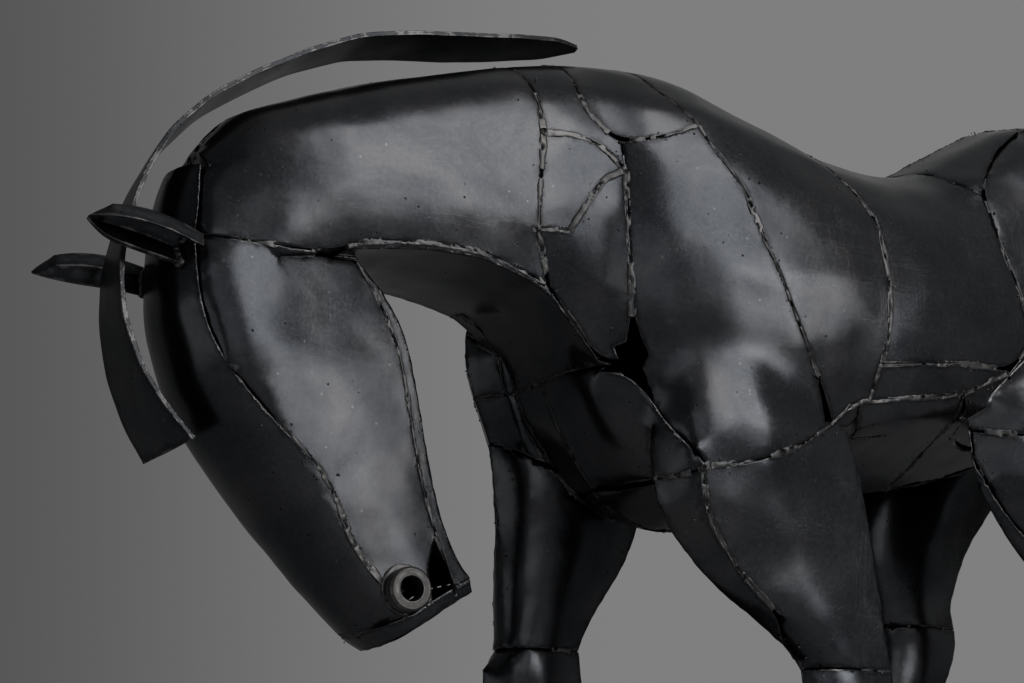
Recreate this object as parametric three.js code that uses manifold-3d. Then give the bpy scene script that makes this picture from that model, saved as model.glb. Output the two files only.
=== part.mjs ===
// Scrap-metal horse: hollow body of welded sheet-steel plates on a low base plate.
// Millimetres, +Z up, head toward -X, left side toward -Y, base underside at Z = 0.
import * as THREE from "three";
import { mergeVertices } from "three/addons/utils/BufferGeometryUtils.js";
import Module from "manifold-3d";

const wasm = await Module();
wasm.setup();

// ---------- driving dimensions ----------
const SHEET = 3;
const SEAM = 0.8;
const TRIM = 0.5;
const SCRAP = 400;
const GAP = 0.3;
const BASE = { length: 640, width: 240, thick: 12, corner: 14 };
const HOOF = { height: 44, flare: 7 };
const RING = { outer: 14, bore: 8, depth: 11.5 };
const REACH = 320;
const CHEST_SIDE = 36;
const NECK_SIDE = 44;

// ---------- steel finishes ----------
const FINISH = {
  patina: { color: 0x24262b, roughness: 0.42, metalness: 0.85 },
  dark: { color: 0x17181b, roughness: 0.55, metalness: 0.8 },
  bare: { color: 0x6a6a6c, roughness: 0.38, metalness: 0.95 },
};

// ---------- body forms: front/rear are [x, z] at the centre plane ----------
const TRUNK = [
  { front: [-268, 630], rear: [-252, 498], wide: 44, level: 0.5, foot: 30, sag: 2 },
  { front: [-242, 698], rear: [-236, 458], wide: 72, level: 0.5, foot: 46, sag: 6 },
  { front: [-205, 708], rear: [-205, 424], wide: 92, level: 0.5, foot: 56, sag: 16 },
  { front: [-165, 706], rear: [-165, 410], wide: 103, level: 0.5, foot: 64, sag: 20 },
  { front: [-115, 687], rear: [-120, 424], wide: 108, level: 0.48, foot: 72, sag: 28 },
  { front: [-60, 668], rear: [-66, 458], wide: 108, level: 0.46, foot: 86, sag: 42 },
  { front: [-5, 660], rear: [-8, 470], wide: 106, level: 0.45, foot: 90, sag: 44 },
  { front: [40, 665], rear: [44, 480], wide: 101, level: 0.45, foot: 86, sag: 44 },
  { front: [88, 693], rear: [92, 488], wide: 98, level: 0.45, foot: 80, sag: 40 },
  { front: [132, 719], rear: [132, 496], wide: 100, level: 0.45, foot: 76, sag: 32 },
  { front: [188, 732], rear: [186, 504], wide: 102, level: 0.46, foot: 72, sag: 22 },
  { front: [262, 718], rear: [262, 522], wide: 92, level: 0.46, foot: 58, sag: 10 },
  { front: [326, 650], rear: [316, 580], wide: 44, level: 0.5, foot: 26, sag: 3 },
];
const NECK = [
  { front: [-200, 708], rear: [-205, 470], wide: 78, level: 0.45, foot: 56, sag: 3 },
  { front: [-240, 706], rear: [-238, 490], wide: 74, level: 0.45, foot: 56, sag: 3 },
  { front: [-275, 699], rear: [-276, 534], wide: 69, level: 0.42, foot: 57, sag: 3 },
  { front: [-323, 685], rear: [-320, 545], wide: 66, level: 0.42, foot: 57, sag: 3 },
  { front: [-372, 671], rear: [-365, 547], wide: 63, level: 0.42, foot: 55, sag: 3 },
  { front: [-424, 653], rear: [-412, 542], wide: 60, level: 0.4, foot: 52, sag: 2 },
  { front: [-470, 634], rear: [-460, 532], wide: 54, level: 0.4, foot: 50, sag: 2 },
  { front: [-500, 603], rear: [-486, 534], wide: 42, level: 0.4, foot: 42, sag: 2 },
];
const HEAD = [
  { front: [-512, 590], rear: [-420, 566], wide: 40, level: 0.7, foot: 34, sag: 2 },
  { front: [-519, 560], rear: [-408, 549], wide: 46, level: 0.72, foot: 37, sag: 2 },
  { front: [-520, 530], rear: [-396, 536], wide: 49, level: 0.74, foot: 38, sag: 2 },
  { front: [-517, 494], rear: [-372, 508], wide: 50, level: 0.75, foot: 38, sag: 2 },
  { front: [-505, 455], rear: [-360, 474], wide: 50, level: 0.73, foot: 37, sag: 2 },
  { front: [-486, 420], rear: [-353, 440], wide: 48, level: 0.72, foot: 35, sag: 2 },
  { front: [-461, 390], rear: [-345, 405], wide: 45, level: 0.72, foot: 32, sag: 2 },
  { front: [-433, 360], rear: [-334, 376], wide: 41, level: 0.72, foot: 29, sag: 2 },
  { front: [-410, 336], rear: [-324, 358], wide: 38, level: 0.72, foot: 28, sag: 2 },
  { front: [-389, 314], rear: [-315, 350], wide: 36, level: 0.7, foot: 27, sag: 2 },
  { front: [-374, 303], rear: [-312, 341], wide: 32, level: 0.68, foot: 25, sag: 1 },
];
const FORE_LEFT = [
  { front: [-196, 520], rear: [-84, 520], wide: 26, level: 0.5, foot: 16, sag: 2, y: -66 },
  { front: [-208, 440], rear: [-66, 468], wide: 37, level: 0.55, foot: 16, sag: 3, y: -68 },
  { front: [-204, 392], rear: [-55, 430], wide: 27, level: 0.55, foot: 15, sag: 3, y: -70 },
  { front: [-168, 352], rear: [-46, 385], wide: 19, level: 0.55, foot: 13, sag: 2, y: -71 },
  { front: [-122, 322], rear: [-39, 335], wide: 17, level: 0.55, foot: 12, sag: 2, y: -72 },
  { front: [-98, 303], rear: [-34, 305], wide: 17, level: 0.55, foot: 12, sag: 2, y: -72 },
  { front: [-95, 278], rear: [-30, 280], wide: 19, level: 0.55, foot: 13, sag: 2, y: -72 },
  { front: [-86, 250], rear: [-30, 252], wide: 19, level: 0.55, foot: 12, sag: 1, y: -72 },
];
const FORE_LEFT_LOW = [
  { front: [-85, 249], rear: [-30, 251], wide: 19, level: 0.55, foot: 12, sag: 1, y: -72 },
  { front: [-72, 205], rear: [-32, 206], wide: 14, level: 0.5, foot: 9, sag: 1, y: -72 },
  { front: [-67, 130], rear: [-30, 130], wide: 13, level: 0.5, foot: 9, sag: 1, y: -72 },
  { front: [-70, 100], rear: [-24, 98], wide: 17, level: 0.5, foot: 11, sag: 1, y: -72 },
  { front: [-78, 74], rear: [-34, 70], wide: 15, level: 0.5, foot: 10, sag: 1, y: -72 },
  { front: [-90, 57], rear: [-40, 57], wide: 20, level: 0.5, foot: 14, sag: 1, y: -72 },
];
const FORE_RIGHT = [
  { front: [-262, 570], rear: [-120, 540], wide: 24, level: 0.5, foot: 16, sag: 2, y: 64 },
  { front: [-272, 514], rear: [-130, 460], wide: 34, level: 0.55, foot: 16, sag: 3, y: 67 },
  { front: [-250, 455], rear: [-138, 412], wide: 34, level: 0.55, foot: 15, sag: 3, y: 69 },
  { front: [-244, 400], rear: [-148, 378], wide: 31, level: 0.55, foot: 14, sag: 2, y: 71 },
  { front: [-243, 350], rear: [-172, 344], wide: 26, level: 0.55, foot: 13, sag: 2, y: 72 },
  { front: [-243, 322], rear: [-186, 322], wide: 23, level: 0.55, foot: 13, sag: 2, y: 72 },
  { front: [-252, 302], rear: [-184, 303], wide: 24, level: 0.55, foot: 14, sag: 2, y: 72 },
  { front: [-250, 278], rear: [-182, 282], wide: 22, level: 0.55, foot: 13, sag: 1, y: 72 },
];
const FORE_RIGHT_LOW = [
  { front: [-250, 277], rear: [-182, 281], wide: 22, level: 0.55, foot: 13, sag: 1, y: 72 },
  { front: [-240, 240], rear: [-192, 242], wide: 15, level: 0.5, foot: 10, sag: 1, y: 72 },
  { front: [-236, 135], rear: [-198, 135], wide: 13, level: 0.5, foot: 9, sag: 1, y: 72 },
  { front: [-240, 102], rear: [-192, 100], wide: 17, level: 0.5, foot: 11, sag: 1, y: 72 },
  { front: [-250, 75], rear: [-204, 71], wide: 15, level: 0.5, foot: 10, sag: 1, y: 72 },
  { front: [-264, 57], rear: [-212, 57], wide: 20, level: 0.5, foot: 14, sag: 1, y: 72 },
];
const HIND_RIGHT = [
  { front: [131, 640], rear: [291, 640], wide: 22, level: 0.5, foot: 14, sag: 3, y: 62 },
  { front: [118, 560], rear: [285, 575], wide: 26, level: 0.5, foot: 18, sag: 4, y: 68 },
  { front: [69, 490], rear: [253, 505], wide: 40, level: 0.5, foot: 20, sag: 4, y: 70 },
  { front: [51, 440], rear: [191, 450], wide: 36, level: 0.5, foot: 18, sag: 3, y: 70 },
  { front: [51, 395], rear: [154, 402], wide: 30, level: 0.5, foot: 15, sag: 2, y: 70 },
  { front: [63, 355], rear: [138, 362], wide: 24, level: 0.5, foot: 13, sag: 2, y: 70 },
  { front: [75, 330], rear: [147, 334], wide: 22, level: 0.5, foot: 12, sag: 2, y: 70 },
  { front: [71, 306], rear: [139, 312], wide: 21, level: 0.5, foot: 12, sag: 2, y: 70 },
  { front: [67, 285], rear: [123, 288], wide: 19, level: 0.5, foot: 11, sag: 1, y: 70 },
];
const HIND_RIGHT_LOW = [
  { front: [67, 284], rear: [123, 287], wide: 19, level: 0.5, foot: 11, sag: 1, y: 70 },
  { front: [65, 250], rear: [109, 252], wide: 15, level: 0.5, foot: 10, sag: 1, y: 70 },
  { front: [53, 135], rear: [93, 135], wide: 14, level: 0.5, foot: 9, sag: 1, y: 70 },
  { front: [47, 102], rear: [97, 100], wide: 17, level: 0.5, foot: 11, sag: 1, y: 70 },
  { front: [37, 75], rear: [85, 71], wide: 15, level: 0.5, foot: 10, sag: 1, y: 70 },
  { front: [23, 57], rear: [77, 57], wide: 20, level: 0.5, foot: 14, sag: 1, y: 70 },
];
const HIND_LEFT = [
  { front: [160, 620], rear: [290, 620], wide: 18, level: 0.5, foot: 14, sag: 3, y: -62 },
  { front: [110, 560], rear: [300, 575], wide: 26, level: 0.5, foot: 18, sag: 4, y: -70 },
  { front: [48, 490], rear: [322, 512], wide: 42, level: 0.5, foot: 20, sag: 4, y: -74 },
  { front: [50, 430], rear: [300, 452], wide: 40, level: 0.5, foot: 18, sag: 3, y: -76 },
  { front: [92, 374], rear: [272, 400], wide: 33, level: 0.5, foot: 16, sag: 2, y: -78 },
  { front: [172, 334], rear: [272, 356], wide: 26, level: 0.5, foot: 14, sag: 2, y: -78 },
  { front: [224, 310], rear: [302, 326], wide: 23, level: 0.5, foot: 12, sag: 2, y: -78 },
  { front: [238, 286], rear: [304, 296], wide: 21, level: 0.5, foot: 12, sag: 2, y: -78 },
  { front: [238, 262], rear: [292, 268], wide: 19, level: 0.5, foot: 11, sag: 1, y: -78 },
];
const HIND_LEFT_LOW = [
  { front: [238, 261], rear: [292, 267], wide: 19, level: 0.5, foot: 11, sag: 1, y: -78 },
  { front: [240, 228], rear: [284, 230], wide: 15, level: 0.5, foot: 10, sag: 1, y: -78 },
  { front: [248, 135], rear: [288, 135], wide: 14, level: 0.5, foot: 9, sag: 1, y: -78 },
  { front: [248, 102], rear: [298, 100], wide: 17, level: 0.5, foot: 11, sag: 1, y: -78 },
  { front: [242, 75], rear: [290, 71], wide: 15, level: 0.5, foot: 10, sag: 1, y: -78 },
  { front: [232, 57], rear: [286, 57], wide: 20, level: 0.5, foot: 14, sag: 1, y: -78 },
];

// ---------- weld lines seen from the side, [x, z] ----------
const HEAD_TOP = [
  [-470, 690], [-500, 594], [-506, 541], [-470, 539],
  [-440, 538], [-404, 539], [-362, 541],
];
const CHEEK_FRONT = [
  [-506, 541], [-502, 492], [-487, 462], [-456, 432],
  [-419, 401], [-402, 364], [-360, 323],
];
const JAW_EDGE = [[-402, 539], [-384, 514], [-369, 480], [-355, 410], [-333, 356], [-325, 338]];
const MUZZLE_END = [[-420, 300], [-384, 313], [-360, 323], [-318, 347], [-290, 358]];
const NECK_UNDER = [
  [-418, 538.5], [-407, 548], [-365, 551], [-320, 549],
  [-276, 536], [-236, 489], [-221, 486],
];
const NECK_SHOULDER = [[-284, 740], [-287, 687], [-281, 652], [-285, 611], [-288, 576], [-276, 536]];
const PATCH_LOW = [[-284, 633], [-257, 636], [-234, 625], [-228, 613]];
const GUSSET_LOW = [[-228, 613], [-243, 609], [-265, 570], [-288, 569]];
const WITHERS_FRONT = [[-244, 740], [-252, 665], [-249, 654], [-237, 636], [-228, 634]];
const WITHERS_LOW = [[-228, 634], [-211, 635], [-188, 643], [-174, 652]];
const SHOULDER_BEAD = [[-228, 634], [-228, 562], [-222, 524], [-221, 486]];
const BLADE_REAR = [
  [-206, 740], [-193, 682], [-174, 652], [-170, 632],
  [-152, 609], [-135, 562], [-110, 512], [-78, 458],
];
const BLADE_FRONT = [[-221, 486], [-207, 467], [-196, 438], [-180, 421]];
const BLADE_LOW = [[-180, 421], [-146, 425], [-115, 437], [-78, 458]];
const BLADE_LOW_FAR = [[-330, 480], [-262, 462], [-221, 436], [-180, 421]];
const CHEST_TOP = [[-330, 482], [-221, 486]];
const CHEST_LOW = [[-330, 430], [-236, 420], [-199, 414], [-180, 421]];
const RIB_REAR = [[-70, 740], [-66, 640], [-52, 622], [-42, 598], [-38, 518], [-48, 476]];
const FLANK_TOP = [[-43, 500], [24, 508], [80, 510]];
const BELLY_WELD = [[-78, 458], [-61, 474], [34, 488]];
const BELLY_FRONT = [[-56, 475], [-46, 440], [-36, 390]];
const BELLY_REAR = [[34, 488], [36, 440], [36, 400]];
const CROUP_FRONT = [[34, 740], [46, 672], [55, 648], [68, 640]];
const CROUP_REAR = [[68, 640], [80, 657], [99, 677], [115, 691], [144, 711], [160, 760]];
const HAUNCH_FRONT = [[68, 640], [67, 604], [73, 590], [88, 561], [96, 530], [80, 510], [34, 488]];
const HAUNCH_LOW = [[34, 488], [53, 464], [80, 462], [150, 474], [230, 490], [345, 510]];
const STAR = [
  [-221, 519], [-223.5, 501], [-230, 498], [-226.5, 490], [-236, 483],
  [-222, 483], [-209, 467], [-214.5, 484], [-211, 492], [-218, 502],
];
const REAR_SLIT = [[-95, 489], [-76, 460], [-84, 459]];
const MOUTH_RIGHT = [[-344, 366], [-348, 352], [-344, 335], [-340.5, 351], [-341, 360]];
const MOUTH_LEFT = [[-342, 371], [-348, 352], [-343, 333], [-331, 352], [-337, 363]];

// ---------- legs: where the front seam runs and where the joint plate begins ----------
const LEGS = {
  foreleg_left: {
    y: -70,
    side: -1,
    joint: 298,
    lip: [[-184, 421], [-180, 390], [-148, 352], [-123, 333], [-100, 298]],
    rear: [[-20, 298], [-20, 462], [-78, 458], [-115, 437], [-146, 425]],
  },
  foreleg_right: {
    y: 71,
    side: 1,
    joint: 316,
    lip: [[-270, 467], [-243, 400], [-235, 350], [-232, 316]],
    rear: [
      [-160, 316], [-30, 400], [-30, 462], [-78, 458], [-115, 437],
      [-146, 425], [-180, 421], [-221, 436], [-262, 462],
    ],
  },
  hindleg_left: {
    y: -76,
    side: -1,
    joint: 322,
    lip: [[34, 490], [62, 420], [104, 376], [184, 338], [226, 322]],
    rear: [[350, 322], [350, 512], [230, 490], [150, 474], [80, 462], [53, 464]],
  },
  hindleg_right: {
    y: 70,
    side: 1,
    joint: 344,
    lip: [[34, 490], [58, 440], [58, 395], [70, 344]],
    rear: [[180, 344], [350, 400], [350, 512], [230, 490], [150, 474], [80, 462], [53, 464]],
  },
};

// ---------- loose forms ----------
const EAR = { spread: 14, throat: 0.64 };
const EARS = {
  ear_left: { root: [-506, -41, 529], tip: [-573, -44, 541], open: [-0.2, -0.42, -0.88] },
  ear_right: { root: [-508, 39, 527], tip: [-580, 42, 526], open: [-0.2, 0.42, -0.88] },
};
const STRAP = [
  { x: -219, z: 722, wide: 5, roll: 14 },
  { x: -240, z: 719, wide: 24, roll: 14 },
  { x: -275, z: 713.5, wide: 34, roll: 12 },
  { x: -318, z: 706, wide: 35, roll: 14 },
  { x: -352, z: 701, wide: 35, roll: 12 },
  { x: -388, z: 693, wide: 35, roll: 8 },
  { x: -425, z: 677, wide: 35, roll: 5 },
  { x: -458, z: 658, wide: 35, roll: 6 },
  { x: -490, z: 634, wide: 35, roll: 8 },
  { x: -513, z: 609, wide: 35, roll: 8 },
  { x: -529, z: 580, wide: 35, roll: 5 },
  { x: -539, z: 551, wide: 35, roll: 3 },
  { x: -543, z: 524, wide: 36, roll: 0 },
  { x: -541, z: 494, wide: 38, roll: -3 },
  { x: -532, z: 462, wide: 44, roll: -6 },
  { x: -519, z: 438, wide: 50, roll: -10 },
  { x: -503, z: 417, wide: 56, roll: -14 },
];
const TAIL = [
  { x: 286, z: 690, wide: 26, roll: 0 },
  { x: 314, z: 684, wide: 34, roll: 0 },
  { x: 336, z: 662, wide: 40, roll: 0 },
  { x: 346, z: 620, wide: 46, roll: 0 },
  { x: 347, z: 560, wide: 48, roll: 0 },
  { x: 343, z: 490, wide: 44, roll: 0 },
  { x: 338, z: 420, wide: 34, roll: 0 },
  { x: 328, z: 360, wide: 12, roll: 0 },
];
const NOSTRIL = { x: -364, z: 337.5, y: 33.5 };

// ---------- geometry helpers ----------
function halfSection(s, inset, n) {
  const w = s.wide - inset;
  const foot = Math.max(s.foot - inset, 1);
  const power = 2 / (s.round ?? 2.2);
  const half = [];
  for (let i = 0; i <= n.top; i += 1) {
    const t = (i / n.top) * Math.PI / 2;
    half.push([s.level + (1 - s.level) * Math.cos(t) ** power, w * Math.sin(t) ** power]);
  }
  for (let i = 1; i <= n.side; i += 1) {
    const t = i / n.side;
    half.push([s.level * (1 - t), w + (foot - w) * t ** 1.7]);
  }
  for (let i = 1; i <= n.foot; i += 1) {
    const t = i / n.foot;
    half.push([-1e-3 * s.sag * Math.sin(t * Math.PI / 2), foot * (1 - t)]);
  }
  return half;
}

function ringPoints(s, inset, n) {
  const [fx, fz] = s.front;
  const [rx, rz] = s.rear;
  const long = Math.hypot(fx - rx, fz - rz);
  const dx = (fx - rx) / long;
  const dz = (fz - rz) / long;
  const span = long - 2 * inset;
  const half = halfSection(s, inset, n);
  const place = ([a, y], side) => {
    const drop = a < 0 ? a * 1e3 : a * span;
    const u = inset + drop;
    return [rx + dx * u, (s.y ?? 0) + side * y, rz + dz * u];
  };
  const left = half.map((p) => place(p, -1));
  const right = half.slice(1, -1).reverse().map((p) => place(p, 1));
  return [...left, ...right];
}

function loft(rings) {
  const count = rings[0].length;
  const points = rings.flat();
  const faces = [];
  for (let r = 0; r + 1 < rings.length; r += 1) {
    for (let i = 0; i < count; i += 1) {
      const a = r * count + i;
      const b = r * count + ((i + 1) % count);
      faces.push([a, b, b + count], [a, b + count, a + count]);
    }
  }
  const cap = (start, turn) => {
    const ring = points.slice(start, start + count);
    const mid = [0, 1, 2].map((k) => ring.reduce((sum, p) => sum + p[k], 0) / count);
    points.push(mid);
    const centre = points.length - 1;
    for (let i = 0; i < count; i += 1) {
      const a = start + i;
      const b = start + ((i + 1) % count);
      faces.push(turn ? [a, centre, b] : [a, b, centre]);
    }
  };
  cap(0, true);
  cap((rings.length - 1) * count, false);
  return solidFrom(points, faces);
}

function solidFrom(points, faces) {
  let volume = 0;
  for (const [a, b, c] of faces) {
    const [p, q, r] = [points[a], points[b], points[c]];
    volume += p[0] * (q[1] * r[2] - q[2] * r[1]);
    volume += p[1] * (q[2] * r[0] - q[0] * r[2]);
    volume += p[2] * (q[0] * r[1] - q[1] * r[0]);
  }
  const order = volume < 0 ? faces.map(([a, b, c]) => [a, c, b]) : faces;
  const geometry = new THREE.BufferGeometry();
  geometry.setAttribute("position", new THREE.Float32BufferAttribute(points.flat(), 3));
  geometry.setIndex(order.flat());
  return toManifold(geometry);
}

function toManifold(source) {
  const bare = new THREE.BufferGeometry();
  bare.setAttribute("position", source.getAttribute("position").clone());
  if (source.getIndex()) {
    bare.setIndex(source.getIndex().clone());
  }
  const welded = mergeVertices(bare, 1e-4);
  const mesh = new wasm.Mesh({
    numProp: 3,
    vertProperties: new Float32Array(welded.getAttribute("position").array),
    triVerts: new Uint32Array(welded.getIndex().array),
  });
  mesh.merge();
  return new wasm.Manifold(mesh);
}

function toGeometry(solid) {
  const mesh = solid.getMesh();
  const geometry = new THREE.BufferGeometry();
  geometry.setAttribute("position", new THREE.Float32BufferAttribute(mesh.vertProperties, 3));
  geometry.setIndex(new THREE.Uint32BufferAttribute(mesh.triVerts, 1));
  const flat = geometry.toNonIndexed();
  flat.computeVertexNormals();
  return flat;
}

function form(stations, n) {
  return loft(stations.map((s) => ringPoints(s, 0, n)));
}

function core(stations, n, ends) {
  const rings = stations.map((s) => ringPoints(s, SHEET, n));
  const draw = (ring, next, by) => {
    const mean = (pts, k) => pts.reduce((sum, p) => sum + p[k], 0) / pts.length;
    const step = [0, 1, 2].map((k) => mean(next, k) - mean(ring, k));
    const long = Math.hypot(...step);
    return ring.map((p) => p.map((v, k) => v + (step[k] / long) * by));
  };
  rings[0] = draw(rings[0], rings[1], ends[0]);
  const last = rings.length - 1;
  rings[last] = draw(rings[last], rings[last - 1], ends[1]);
  return loft(rings);
}

// A thin wall standing on a side-view line, mitred at its bends, running from y0 to y1.
function curtain(line, y0, y1) {
  const runs = line.slice(1).map(([x, z], i) => {
    const long = Math.hypot(x - line[i][0], z - line[i][1]);
    return [(x - line[i][0]) / long, (z - line[i][1]) / long];
  });
  const edge = (side) => line.map(([x, z], i) => {
    const [ax, az] = runs[Math.max(i - 1, 0)];
    const [bx, bz] = runs[Math.min(i, runs.length - 1)];
    const mitre = side * SEAM / (1 + ax * bx + az * bz);
    const along = i === 0 ? -SEAM / 2 : i === line.length - 1 ? SEAM / 2 : 0;
    return [x - (az + bz) * mitre / 2 + ax * along, z + (ax + bx) * mitre / 2 + az * along];
  });
  return prism([...edge(1), ...edge(-1).reverse()], y0, y1);
}

// A flat prism of side-view outline, running from y0 to y1.
function prism(outline, y0, y1) {
  const shape = new THREE.Shape();
  outline.forEach(([x, z], i) => (i ? shape.lineTo(x, z) : shape.moveTo(x, z)));
  shape.closePath();
  const slab = new THREE.ExtrudeGeometry(shape, { depth: y1 - y0, bevelEnabled: false });
  slab.rotateX(Math.PI / 2);
  slab.translate(0, y1, 0);
  return toManifold(slab);
}

// A flat strip bent along stations in the XZ plane, rolled about its own run.
function strip(stations, thick) {
  const rings = stations.map((s, i) => {
    const before = stations[Math.max(i - 1, 0)];
    const after = stations[Math.min(i + 1, stations.length - 1)];
    const run = new THREE.Vector3(after.x - before.x, 0, after.z - before.z).normalize();
    const across = new THREE.Vector3(0, 1, 0).applyAxisAngle(run, s.roll * Math.PI / 180);
    const through = run.clone().cross(across);
    const at = new THREE.Vector3(s.x, 0, s.z);
    return [[-1, -1], [1, -1], [1, 1], [-1, 1]].map(([a, b]) => at.clone()
      .addScaledVector(across, a * s.wide / 2)
      .addScaledVector(through, b * thick / 2)
      .toArray());
  });
  return loft(rings);
}

// A leaf of sheet folded into an open channel that closes to a point.
function ear(spec) {
  const root = new THREE.Vector3(...spec.root);
  const tip = new THREE.Vector3(...spec.tip);
  const run = tip.clone().sub(root).normalize();
  const open = new THREE.Vector3(...spec.open);
  open.addScaledVector(run, -open.dot(run)).normalize();
  const side = run.clone().cross(open);
  const steps = 6;
  const around = 4;
  const rings = [];
  for (let i = 0; i <= steps; i += 1) {
    const t = i / steps;
    const width = EAR.spread * (0.85 + 0.5 * t) * Math.sqrt(Math.max(1 - t ** 2.2, 0.012));
    const at = root.clone().lerp(tip, t);
    at.addScaledVector(open, -3 * Math.sin(Math.PI * t));
    const arc = (radius, k) => {
      const angle = Math.PI * (0.5 + EAR.throat * (2 * k / around - 1) * 0.95) + Math.PI / 2;
      return at.clone()
        .addScaledVector(side, radius * Math.sin(angle))
        .addScaledVector(open, radius * Math.cos(angle))
        .toArray();
    };
    const ring = [];
    for (let k = 0; k <= around; k += 1) {
      ring.push(arc(width, k));
    }
    for (let k = around; k >= 0; k -= 1) {
      ring.push(arc(Math.max(width - 2.2, width * 0.45), k));
    }
    rings.push(ring);
  }
  return channel(rings);
}

// Joins open C-shaped rings, with both ends closed across the sheet's thickness.
function channel(rings) {
  const count = rings[0].length;
  const points = rings.flat();
  const faces = [];
  for (let r = 0; r + 1 < rings.length; r += 1) {
    for (let i = 0; i < count; i += 1) {
      const a = r * count + i;
      const b = r * count + ((i + 1) % count);
      faces.push([a, b, b + count], [a, b + count, a + count]);
    }
  }
  const last = (rings.length - 1) * count;
  for (let k = 0; k < count / 2 - 1; k += 1) {
    const [a, b] = [k, k + 1];
    const [c, d] = [count - 2 - k, count - 1 - k];
    faces.push([a, c, b], [a, d, c]);
    faces.push([last + a, last + b, last + c], [last + a, last + c, last + d]);
  }
  return solidFrom(points, faces);
}

function tube(radius, bore, depth) {
  const bevel = 1.5;
  const profile = [
    [bore, 0], [radius - bevel, 0], [radius, bevel], [radius, depth - bevel],
    [radius - bevel, depth], [bore, depth], [bore, 0],
  ];
  const lathe = new THREE.LatheGeometry(profile.map(([r, h]) => new THREE.Vector2(r, h)), 18);
  return toManifold(lathe);
}

function rod(radius, depth) {
  return toManifold(new THREE.CylinderGeometry(radius, radius, depth, 18));
}

// ---------- the hollow body ----------
const TRUNK_N = { top: 4, side: 3, foot: 1 };
const BODY_N = { top: 4, side: 2, foot: 1 };
const LEG_N = { top: 2, side: 1, foot: 1 };
const forms = [
  [TRUNK, TRUNK_N, [SHEET, SHEET]],
  [NECK, BODY_N, [SHEET, SHEET]],
  [HEAD, BODY_N, [SHEET, SHEET]],
  [FORE_LEFT, LEG_N, [SHEET, SHEET]],
  [FORE_RIGHT, LEG_N, [SHEET, SHEET]],
  [HIND_LEFT, LEG_N, [SHEET, SHEET]],
  [HIND_RIGHT, LEG_N, [SHEET, SHEET]],
];
const outside = forms.map(([stations, n]) => form(stations, n)).reduce((a, b) => a.add(b));
const inside = forms.map(([stations, n, ends]) => core(stations, n, ends)).reduce((a, b) => a.add(b));
const skin = outside.subtract(inside);

// ---------- cuts along every weld ----------
const cuts = [];
for (const line of [HEAD_TOP, CHEEK_FRONT, JAW_EDGE, MUZZLE_END, NECK_UNDER, NECK_SHOULDER, WITHERS_LOW,
  SHOULDER_BEAD, BLADE_REAR, BLADE_LOW, CHEST_TOP, RIB_REAR, FLANK_TOP, BELLY_WELD,
  BELLY_FRONT, BELLY_REAR, CROUP_FRONT, CROUP_REAR, HAUNCH_FRONT, HAUNCH_LOW, WITHERS_FRONT]) {
  cuts.push(curtain(line, -REACH, REACH));
}
for (const line of [PATCH_LOW, GUSSET_LOW, BLADE_FRONT]) {
  cuts.push(curtain(line, -REACH, 0));
}
cuts.push(curtain(CHEST_LOW, -REACH, CHEST_SIDE));
cuts.push(curtain(BLADE_LOW_FAR, CHEST_SIDE, REACH));
const chestCorner = [[-330, 484], [-221, 486], [-180, 421], [-180, 380], [-330, 380]];
cuts.push(prism(chestCorner, CHEST_SIDE, CHEST_SIDE + SEAM));
const neckCorner = [[-286, 546], [-276, 537], [-236, 489], [-221, 486], [-286, 482]];
cuts.push(prism(neckCorner, NECK_SIDE, NECK_SIDE + SEAM));
cuts.push(curtain([[-286, 552], [-286, 482]], NECK_SIDE, REACH));
const middle = (outline) => prism(outline, -SEAM / 2, SEAM / 2);
cuts.push(middle([
  [-506, 570], [-500, 594], [-470, 690], [-470, 780],
  [420, 780], [420, 560], [-284, 560], [-300, 600],
]));
cuts.push(middle([
  [-340, 482], [-221, 486], [-150, 486], [-56, 475],
  [-46, 440], [-36, 390], [-36, 370], [-340, 370],
]));
cuts.push(middle([[36, 380], [420, 380], [420, 600], [210, 600], [120, 520], [36, 500]]));
for (const leg of Object.values(LEGS)) {
  cuts.push(prism([...leg.lip, ...leg.rear], leg.y - SEAM / 2, leg.y + SEAM / 2));
  const [near, far] = leg.side < 0 ? [-REACH, leg.y] : [leg.y, REACH];
  cuts.push(curtain(leg.lip, near, far));
  const [fromX, toX] = [leg.lip[leg.lip.length - 1][0] - 40, leg.rear[0][0]];
  cuts.push(curtain([[fromX, leg.joint], [toX, leg.joint]], leg.y - 50, leg.y + 50));
}
cuts.push(prism(STAR, -REACH, -20));
cuts.push(prism(REAR_SLIT, -REACH, -20));
cuts.push(prism(MOUTH_LEFT, -60, -14));
cuts.push(prism(MOUTH_RIGHT, 14, 60));
for (const side of [-1, 1]) {
  cuts.push(rod(RING.outer + GAP, 30).translate([NOSTRIL.x, side * 42, NOSTRIL.z]));
}
const plates = skin.subtract(cuts.reduce((a, b) => a.add(b))).decompose()
  .filter((piece) => piece.volume() > SCRAP)
  .map((piece) => piece.simplify(TRIM));

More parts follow.
